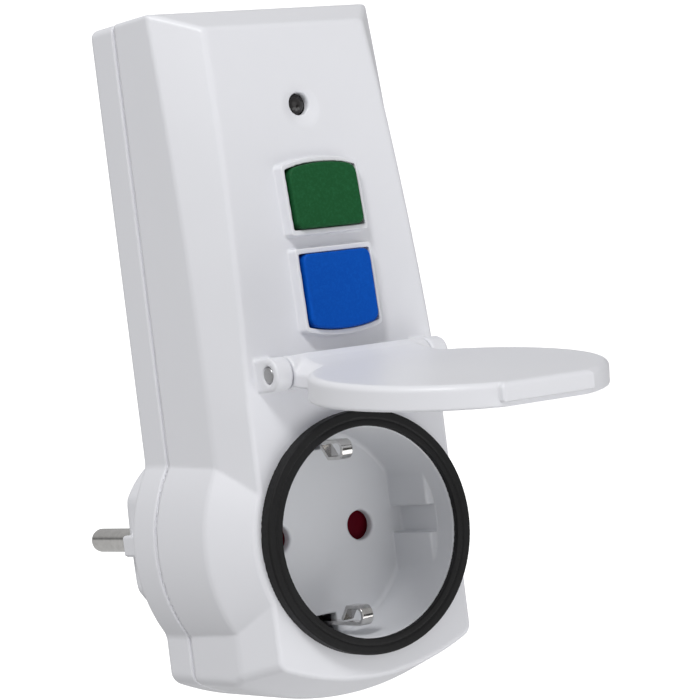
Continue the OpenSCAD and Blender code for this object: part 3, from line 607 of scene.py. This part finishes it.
def front_shell(x, d, z):
    form = front_form(x, d, z)
    rebate = both(form + STEP_IN, d - PART_D)
    shell = either(both(form, d - PART_D + STEP_W, EDGE), rebate)
    shell = less(shell, form + WALL)
    post = both(screw_shaft(x, z, POST_R), both(form + POST_SKIN, d - PART_D))
    shell = either(shell, post)
    shell = less(shell, both(screw_shaft(x, z, SCREW_R + CLEAR), SCREW_TIP_D - SCREW_ROOM - d))
    for limits, arch_up in ((RESET_Z, True), (TEST_Z, False)):
        frame_zone = button_zone(x, z, limits, arch_up, RUN + BEZEL_RIM, BEZEL_CORNER)
        frame_form = both(both(frame_zone, d - GUIDE_D), before(d, z, limits, BEZEL_OUT), BEZEL_EDGE)
        shell = either(shell, frame_form, EDGE_ROUND)
        inward = np.maximum(np.abs(x) - WELL_SIDE_GAP + WELL_GAP, 0)
        well = button_zone(inward, z, limits, arch_up, WELL_GAP, WELL_CORNER)
        shell = less(shell, well, BEZEL_EDGE / 2)
    lug_d = np.where(d > HINGE_D, np.maximum(d - WALL / 2, 0), d - HINGE_D)
    lug = both(np.hypot(lug_d, z - HINGE_Z) - LUG_R, between(np.abs(x), *LUG_X), EDGE_ROUND)
    shell = either(shell, lug, EDGE_ROUND)
    pin_hole = np.hypot(d - HINGE_D, z - HINGE_Z) - HINGE_PIN_R - CLEAR
    shell = less(shell, both(pin_hole, HINGE_HOLE_X - np.abs(x)), HINGE_HOLE_EDGE)
    shell = less(shell, both(np.hypot(x, z) - CUP_OUT_R - CLEAR, d - 2 * WALL))
    dish_ball = (DISH_R ** 2 + DISH_DEEP ** 2) / (2 * DISH_DEEP)
    dish_d = face_depth(LED_Z) + DISH_DEEP - dish_ball
    dish = np.sqrt(x ** 2 + (d - dish_d) ** 2 + (z - LED_Z) ** 2) - dish_ball
    shell = less(shell, dish, EDGE_SOFT)
    return less(shell, both(np.hypot(x, z - LED_Z) - LED_R, d - 3 * WALL), LED_EDGE)


def nose_plan(x, z, grow=0.0):
    """Section of the nose with its side ribs."""
    round_part = both(np.hypot(x, z) - NOSE_R - grow, np.abs(x) - NOSE_HALF - grow, EDGE_SOFT)
    rib = both(np.abs(x) - RIB_REACH - grow, np.abs(z) - RIB_HALF - grow, EDGE_ROUND)
    return either(round_part, rib, EDGE_SOFT)


def rear_shell(x, d, z):
    plan = outline(x, z)
    shell = both(both(plan, d - REAR_D, REAR_EDGE), PART_D - d, JOIN_EDGE)
    shell = less(shell, both(plan + WALL, d - REAR_D + WALL, EDGE_WIDE))
    shell = either(shell, both(screw_shaft(x, z, BOSS_R), between(d, PART_D, REAR_D - WALL / 2)))
    shell = less(shell, screw_shaft(x, z, SCREW_R + CLEAR))
    head_hole = both(screw_shaft(x, z, SCREW_HEAD_R + SCREW_HEAD_GAP), SCREW_SEAT_D - CLEAR - d)
    shell = less(shell, head_hole, EDGE)
    return less(shell, nose_plan(x, z, CLEAR), EDGE)


def nose_shell(x, d, z):
    out = np.hypot(x, z)
    fall = NOSE_R - PLUG_FACE_R
    length = PLUG_D - TAPER_D
    cone = ((out - NOSE_R) * length + (d - TAPER_D) * fall) / math.hypot(length, fall)
    flat_fall = NOSE_HALF - PLUG_FACE_R
    flat = ((np.abs(x) - NOSE_HALF) * length + (d - TAPER_D) * flat_fall) / math.hypot(length, flat_fall)
    form = both(both(out - NOSE_R, cone, EDGE_SOFT), both(np.abs(x) - NOSE_HALF, flat, EDGE_SOFT), EDGE_SOFT)
    rib = both(np.abs(x) - RIB_REACH, np.abs(z) - RIB_HALF, EDGE_ROUND)
    rib = both(rib, d - TAPER_D, EDGE_BROAD)
    form = both(either(form, rib, EDGE_SOFT), d - PLUG_D, EDGE_BROAD)
    seat_d = REAR_D - WALL
    form = both(form, seat_d - d)
    form = either(form, both(out - NOSE_R - COLLAR_OUT, between(d, seat_d - COLLAR_T, seat_d), EDGE))
    hollow = both(both(out - NOSE_R + WALL, np.abs(x) - NOSE_HALF + WALL), d - PIN_SEAT_D, EDGE_WIDE)
    form = less(form, hollow)
    pin_hole = np.hypot(np.abs(x) - PIN_X, z) - PIN_R - CLEAR
    form = less(form, both(pin_hole, PIN_SEAT_D - PIN_ROOM - d), EDGE)
    groove = both(np.abs(x) - EARTH_HALF - CLEAR, between(d, *EARTH_D) - CLEAR)
    return less(form, both(groove, EARTH_Z[0] - np.abs(z)), EDGE)


# Socket

def cup_shell(x, d, z):
    out = np.hypot(x, z)
    across = np.abs(x)
    cup = both(out - CUP_OUT_R, between(d, CUP_RIM_D, FLOOR_BACK_D), EDGE)
    cup = either(cup, both(out - CUP_FLANGE_R, between(d, WALL, WALL + CUP_FLANGE_T)))
    air = both(out - CUP_R, d - FLOOR_D, FLOOR_FILLET)
    block = both(BLOCK_X + (FLOOR_D - d) * BLOCK_DRAFT - across, BLOCK_D - d, EDGE_SOFT)
    slot = both(np.abs(z) - SLOT_HALF, across - SLOT_X, EDGE)
    block = less(block, slot, EDGE_SMALL)
    air = less(air, block, EDGE_SOFT)
    cup = less(cup, air, RIM_EDGE)
    cup = less(cup, np.hypot(across - PIN_X, z) - HOLE_R, EDGE_ROUND)
    window = both(between(np.sign(z) * x, *CLIP_SLOT_X), between(np.abs(z), *CLIP_SLOT_Z), EDGE)
    cup = less(cup, both(window, FLOOR_D - CLIP_SLOT_IN - d), EDGE_SMALL)
    stud = both(out - STUD_R, between(d, FLOOR_D + STUD_D[0], FLOOR_D + STUD_D[1]))
    return either(cup, stud)


def ring_form(x, d, z):
    out = np.hypot(x, z)
    ring = both(both(out - RING_R, RING_D - d, RING_EDGE), d)
    ring = both(ring, RING_IN_R - out, RIM_EDGE)
    groove = np.hypot(out - RING_GROOVE_R, d - RING_D + RING_GROOVE_IN) - RING_GROOVE_W
    ring = less(ring, groove, EDGE_FINE)
    return less(ring, both(out - CUP_OUT_R - CLEAR, CUP_RIM_D - d))


def segment(p, q, a0, b0, a1, b1):
    """Distance to a straight line in a plane."""
    along = (p - a0) * (a1 - a0) + (q - b0) * (b1 - b0)
    t = np.clip(along / ((a1 - a0) ** 2 + (b1 - b0) ** 2), 0, 1)
    return np.hypot(p - a0 - t * (a1 - a0), q - b0 - t * (b1 - b0))


def clip_form(side):
    """A bent earth spring at the top or the bottom of the recess."""
    def form(x, d, z):
        up = side * z
        hook_z = CLIP_Z - CLIP_HOOK_R
        run_z = hook_z - CLIP_HOOK_R
        end_d = CLIP_BEND_D + CLIP_RUN
        foot_d = CLIP_BACK_D - CLIP_T / 2
        strip = segment(d, up, CLIP_BEND_D, CLIP_Z, foot_d, CLIP_Z)
        run = segment(d, up, CLIP_BEND_D, run_z, end_d, run_z)
        end = segment(d, up, end_d, run_z, end_d + CLIP_END[0], run_z + CLIP_END[1])
        foot = segment(d, up, foot_d, CLIP_FOOT_Z + CLIP_T / 2, foot_d, CLIP_Z)
        bend = np.abs(np.hypot(d - CLIP_BEND_D, up - hook_z) - CLIP_HOOK_R)
        bend = np.where(d <= CLIP_BEND_D, bend, CLIP_BACK_D)
        path = np.minimum(np.minimum(strip, run), np.minimum(end, np.minimum(foot, bend)))
        return both(path - CLIP_T / 2, np.abs(x) - CLIP_HALF, EDGE_FINE)
    return form


# Lid, drawn level about its hinge axis: y runs back, z up

def lid_form(x, y, z):
    ahead = -y
    across = np.abs(x)
    out = np.hypot(x, ahead - HINGE_Z)
    front_half = HINGE_Z - ahead
    flat = ahead - HINGE_Z - LIP_FLAT
    low = LID_LOW + LID_RISE * ahead
    disc = both(both(out - LID_R, flat, EDGE_SOFT), low - z, EDGE_ROUND)
    disc = less(disc, both(z - LIP_LOW, -flat - LIP_OUT), EDGE_FINE)
    lip = both(both(flat, across - LIP_HALF, EDGE_ROUND), LIP_LOW - z, EDGE)
    lip = both(lip, front_half)
    form = either(disc, lip)
    form = both(form, z - LID_TOP, LID_EDGE)
    barrel = np.hypot(ahead, z) - LUG_R
    ramp = z - LID_TOP - np.maximum(RAMP_LEN - ahead, 0) ** 2 / (2 * RAMP_R)
    slant = (across - ARM_HALF + z) / math.sqrt(2)
    arm = both(both(ramp, ARM_LOW - z, EDGE), slant, EDGE_BROAD)
    arm = either(both(arm, between(ahead, 0, ARM_LEN)), barrel, EDGE_ROUND)
    form = either(form, both(arm, across - ARM_HALF, EDGE))
    cavity = both(out - LID_R + LID_SKIRT, flat + LIP_OUT + LIP_WALL, EDGE_WIDE)
    cavity = both(cavity, z - LID_UNDER, EDGE_WIDE)
    form = less(form, cavity, EDGE_SOFT)
    return less(form, barrel + LUG_R - HINGE_PIN_R - HINGE_PLAY, EDGE_SMALL)


def lid_in_frame(points, normals):
    c = math.cos(LID_DROOP)
    s = math.sin(LID_DROOP)
    turn = np.array([[1, 0, 0], [0, c, -s], [0, s, c]])
    points = points @ turn.T + np.array([0, HINGE_D, HINGE_Z])
    return in_frame(points, normals @ turn.T)


# Buttons

def button_form(limits, arch_up, stem_d):
    """A button cap with its flange and stem."""
    middle = sum(limits) / 2

    def form(x, d, z):
        front = before(d, z, limits, BEZEL_OUT + BUTTON_PROUD)
        cap = both(button_zone(x, z, limits, arch_up, 0, BUTTON_CORNER), front, BUTTON_EDGE)
        cap = both(cap, d - FLANGE_D[1])
        flange = button_zone(x, z, limits, arch_up, FLANGE_GROW, BUTTON_CORNER)
        flange = both(flange, between(d, *FLANGE_D), EDGE)
        stem = both(np.hypot(x, z - middle) - STEM_R, between(d, FLANGE_D[0], stem_d), EDGE)
        return either(either(cap, flange), stem)
    return form


def lens_form(x, d, z):
    """The smoked indicator window with its domed front."""
    out = np.hypot(x, z - LED_Z)
    middle = face_depth(LED_Z) + LENS_SUNK + LENS_BALL_R
    dome = np.hypot(out, np.minimum(d - middle, 0)) - LENS_BALL_R
    lens = both(both(out - LENS_R, dome, EDGE_SMALL), d - LENS_BACK_D)
    return either(lens, both(out - LENS_COLLAR_R, between(d, *LENS_COLLAR_D)))


# Small turned and bent metal pieces

def pin_form(side):
    def form(x, d, z):
        out = np.hypot(x - side * PIN_X, z)
        pin = both(out - PIN_R, between(d, PIN_BACK_D, PIN_TIP_D), PIN_TIP_EDGE)
        collar = between(d, PIN_SEAT_D - PIN_COLLAR_T, PIN_SEAT_D)
        return either(pin, both(out - PIN_R - PIN_COLLAR, collar, EDGE_SMALL))
    return form


def plug_earth_form(side):
    def form(x, d, z):
        up = side * z
        plate = both(np.abs(x) - EARTH_HALF, between(d, *EARTH_D), EDGE_ROUND)
        plate = both(plate, between(up, *EARTH_Z), EDGE)
        tail = both(between(d, *EARTH_TAIL_D), between(up, EARTH_TAIL_Z, EARTH_Z[1] - EARTH_TAIL_IN))
        tail = both(np.abs(x) - EARTH_TAIL_HALF, tail)
        return either(plate, tail)
    return form


def hinge_pin_form(x, d, z):
    return both(np.hypot(d - HINGE_D, z - HINGE_Z) - HINGE_PIN_R, np.abs(x) - LUG_X[1], EDGE)


def screw_form(middle_x, middle_z):
    """A screw with a cross recess in its head."""
    def form(x, d, z):
        along = np.abs(x - middle_x)
        up = np.abs(z - middle_z)
        out = np.hypot(along, up)
        shaft = both(out - SCREW_R, between(d, SCREW_TIP_D, SCREW_SEAT_D + SCREW_SINK))
        head = both(out - SCREW_HEAD_R, between(d, SCREW_SEAT_D, SCREW_TOP_D), EDGE_ROUND)
        bar = both(along - CROSS_LONG, up - CROSS_HALF, EDGE_SMALL)
        cross = np.minimum(bar, both(along - CROSS_HALF, up - CROSS_LONG, EDGE_SMALL))
        return less(either(shaft, head), both(cross, SCREW_TOP_D - CROSS_DEEP - d), EDGE_FINE)
    return form


def build_pieces():
    """Meshes of the visible pieces, each with the cell of its grid in millimetres."""
    front = solid("front_shell", front_shell, (-SHELL_HALF, SHELL_FRONT_D, SHELL_LOW),
                  (SHELL_HALF, PART_D, BODY_TOP), cell=0.5, finer=FINE_ZONE)
    dress(front, "housing", "housing_white", "front_housing")
    rear = solid("rear_shell", rear_shell, (-SHELL_HALF, PART_D, SHELL_LOW),
                 (SHELL_HALF, REAR_D, BODY_TOP), cell=0.55)
    dress(rear, "housing", "housing_white", "rear_cover")
    nose = solid("nose_shell", nose_shell, (-NOSE_BOX, NOSE_BOX_D, -NOSE_BOX),
                 (NOSE_BOX, PLUG_D, NOSE_BOX), cell=0.5)
    dress(nose, "housing", "housing_white", "plug_nose")
    cup = solid("socket_insert", cup_shell, (-CUP_BOX, CUP_RIM_D, -CUP_BOX),
                (CUP_BOX, CUP_BOX_D, CUP_BOX), cell=0.35)
    dress(cup, "housing", "socket_grey", "socket_cup")
    ring = solid("rubber_ring", ring_form, (-RING_R, RING_D, -RING_R), (RING_R, 0, RING_R), cell=0.25)
    dress(ring, "housing", "seal_black", "socket_seal_ring")
    for side, end in ((1, "upper"), (-1, "lower")):
        low, high = sorted(side * z for z in CLIP_BOX_Z)
        clip = solid(end + "_clip_strip", clip_form(side), (-CLIP_BOX_HALF, CLIP_BOX_D, low),
                     (CLIP_BOX_HALF, CLIP_BACK_D, high), cell=0.14)
        dress(clip, "housing", "nickel", end + "_earth_clip")
        low, high = sorted(side * z for z in EARTH_BOX_Z)
        earth = solid(end + "_earth_strip", plug_earth_form(side), (-EARTH_BOX_HALF, EARTH_BOX_D[0], low),
                      (EARTH_BOX_HALF, EARTH_BOX_D[1], high), cell=0.2)
        dress(earth, "housing", "nickel", end + "_plug_earth")
    for side, name in ((-1, "line"), (1, "neutral")):
        middle = side * PIN_X
        pin = solid(name + "_prong", pin_form(side), (middle - PIN_BOX, PIN_BACK_D, -PIN_BOX),
                    (middle + PIN_BOX, PIN_TIP_D, PIN_BOX), cell=0.25)
        dress(pin, "housing", "nickel", name + "_pin")
    hinge = solid("hinge_rod", hinge_pin_form, (-LUG_X[1], HINGE_D - HINGE_BOX, HINGE_Z - HINGE_BOX),
                  (LUG_X[1], HINGE_D + HINGE_BOX, HINGE_Z + HINGE_BOX), cell=0.2)
    dress(hinge, "housing", "steel", "lid_hinge_pin")
    r = SCREW_HEAD_R
    for sx, sz in SCREWS:
        for side, hand in ((-1, "left"), (1, "right")):
            mx = side * sx
            height = "upper" if sz > 0 else "lower"
            screw = solid(f"{height}_{hand}_screw", screw_form(mx, sz), (mx - r, SCREW_TIP_D, sz - r),
                          (mx + r, SCREW_TOP_D, sz + r), cell=0.2)
            dress(screw, "housing", "steel", "housing_screws")
    lid = solid("lid_shell", lid_form, (-LID_BOX, LID_BOX_Y[0], LID_LOW),
                (LID_BOX, LID_BOX_Y[1], LID_BOX_TOP), cell=0.4, place=lid_in_frame)
    dress(lid, "lid", "housing_white", "lid")
    reset = solid("reset_cap", button_form(RESET_Z, True, RESET_STEM_D),
                  (-CAP_BOX, BUTTON_FRONT, RESET_BOX_Z[0]),
                  (CAP_BOX, RESET_STEM_D, RESET_BOX_Z[1]), cell=0.25)
    dress(reset, "reset", "button_green", "reset_button")
    test = solid("test_cap", button_form(TEST_Z, False, TEST_STEM_D),
                 (-CAP_BOX, BUTTON_FRONT, TEST_BOX_Z[0]),
                 (CAP_BOX, TEST_STEM_D, TEST_BOX_Z[1]), cell=0.25)
    dress(test, "test", "button_blue", "test_button")
    lens = solid("lens_window", lens_form, (-LENS_COLLAR_R, LENS_BOX_D, LED_Z - LENS_COLLAR_R),
                 (LENS_COLLAR_R, LENS_BACK_D, LED_Z + LENS_COLLAR_R), cell=0.15)
    dress(lens, "housing", "lens_smoke", "indicator_lens")


def finish_cad_nodes():
    """Gives the carried-over nodes the finish of their slot."""
    for part in frame["record"]["subparts"]:
        node = frame["nodes"][part["node"]]
        node.data.materials.clear()
        node.data.materials.append(FINISHES[part["material_slot"]])


def shorten_springs():
    for name, joint, end_d, keep in SPRINGS:
        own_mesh(frame["nodes"][name])


# Stage, in metres: cards as place, target, width, height and glow; lights as place, size and power

STAGE_GREY = (0.9, 0.9, 0.9)
STAGE_R = 6.0
STAGE_CLOUD_SCALE = 3.0
CARD_GREY = (0.03, 0.03, 0.03)
CARDS = {
    "rear_card": ((-0.1, 0.9, 0.75), (0, 0, 0), 1.6, 0.8, 0.45),
    "rear_flag": ((-0.45, 0.9, 0.2), (0, 0, 0), 0.6, 0.14, 0.17),
    "rear_low_card": ((-0.3, 0.9, -0.3), (0, 0, 0), 1.6, 0.8, 0.54),
    "front_flag": ((0.6, -1.05, -0.08), (0, -0.07, 0), 0.5, 0.35, 0.0),
}
WORLD_LIGHT = 0.39
LIGHT_AIM = (0, -0.05, 0.03)
LIGHTS = {
    "key": ((-0.631, -0.631, 0.946), 0.35, 7.2),
    "front": ((0.128, -1.279, 0.192), 0.9, 1.1),
    "top_left": ((-0.946, -0.126, 0.883), 0.9, 2.0),
    "low": ((0.0, -0.129, -1.294), 0.9, 1.5),
    "low_front": ((0.13, -1.09, -0.69), 0.9, 3.4),
    "low_right": ((0.792, -0.792, -0.66), 0.9, 3.0),
}
CAMERA_PLACE = (-0.2916, -0.4906, 0.0418)
CAMERA_RIGHT = (0.8166, -0.5638, -0.1239)
CAMERA_DOWN = (-0.1111, 0.0571, -0.9922)
CAMERA_AHEAD = (0.5664, 0.8240, -0.0160)
CAMERA_LENS_MM = 144.65
CAMERA_SENSOR_MM = 36.0


def stage_finish(name, colour, glow):
    material, nodes, links, shader = new_finish(name)
    cloud = noise(nodes, links, STAGE_CLOUD_SCALE)
    links.new(vary(nodes, links, cloud, scaled(colour, 0.99), colour), shader.inputs["Base Color"])
    shader.inputs["Roughness"].default_value = 0.9
    shader.inputs["Specular IOR Level"].default_value = 0.1
    shader.inputs["Emission Color"].default_value = (1, 1, 1, 1)
    shader.inputs["Emission Strength"].default_value = glow
    return material


def dome_mesh(name, radius, rows=24, count=48):
    points = []
    faces = []
    for i in range(rows + 1):
        tilt = math.pi * (i + 0.001) / (rows + 0.002)
        for j in range(count):
            turn = 2 * math.pi * j / count
            points.append((radius * math.sin(tilt) * math.cos(turn),
                           radius * math.sin(tilt) * math.sin(turn), radius * math.cos(tilt)))
    for i in range(rows):
        for j in range(count):
            k = (j + 1) % count
            faces.append((i * count + j, i * count + k, (i + 1) * count + k, (i + 1) * count + j))
    mesh = bpy.data.meshes.new(name)
    mesh.from_pydata(points, [], faces)
    return mesh


def build_stage():
    backdrop = bpy.data.objects.new("backdrop", dome_mesh("backdrop", STAGE_R))
    backdrop.data.materials.append(stage_finish("backdrop", STAGE_GREY, 1.0))
    backdrop.visible_diffuse = False
    backdrop.visible_glossy = False
    backdrop.visible_transmission = False
    backdrop.visible_shadow = False
    bpy.context.scene.collection.objects.link(backdrop)


def reflection_card(name, place, target, width, height, glow):
    """A panel that only shows in reflections."""
    mesh = bpy.data.meshes.new(name)
    w = width / 2
    h = height / 2
    mesh.from_pydata([(-w, -h, 0), (w, -h, 0), (w, h, 0), (-w, h, 0)], [], [(0, 1, 2, 3)])
    mesh.materials.append(stage_finish(name, CARD_GREY, glow))
    card = bpy.data.objects.new(name, mesh)
    card.location = place
    card.rotation_euler = (Vector(target) - Vector(place)).to_track_quat("Z", "Y").to_euler()
    card.visible_camera = False
    card.visible_diffuse = False
    card.visible_transmission = False
    card.visible_shadow = False
    bpy.context.scene.collection.objects.link(card)


def build_world():
    """Even soft light all round."""
    world = bpy.data.worlds.new("studio")
    bpy.context.scene.world = world
    world.use_nodes = True
    background = world.node_tree.nodes["Background"]
    background.inputs["Strength"].default_value = WORLD_LIGHT
    background.inputs["Color"].default_value = (1, 1, 1, 1)


def area_light(name, place, size, power):
    lamp = bpy.data.lights.new(name, "AREA")
    lamp.shape = "DISK"
    lamp.size = size
    lamp.energy = power
    obj = bpy.data.objects.new(name, lamp)
    bpy.context.scene.collection.objects.link(obj)
    obj.location = place
    obj.rotation_euler = (Vector(LIGHT_AIM) - Vector(place)).to_track_quat("-Z", "Y").to_euler()


def build_camera():
    data = bpy.data.cameras.new("camera")
    data.sensor_width = CAMERA_SENSOR_MM
    data.lens = CAMERA_LENS_MM
    camera = bpy.data.objects.new("camera", data)
    bpy.context.scene.collection.objects.link(camera)
    axes = (Vector(CAMERA_RIGHT), -Vector(CAMERA_DOWN), -Vector(CAMERA_AHEAD))
    turn = Matrix(axes).transposed().to_4x4()
    camera.matrix_world = Matrix.Translation(CAMERA_PLACE) @ turn
    bpy.context.scene.camera = camera


build_camera()
build_stage()
for card_name, card_values in CARDS.items():
    reflection_card(card_name, *card_values)
build_world()
for light_name, light_values in LIGHTS.items():
    area_light(light_name, *light_values)
finish_cad_nodes()
build_pieces()
shorten_springs()
bpy.context.scene.view_settings.view_transform = "Standard"
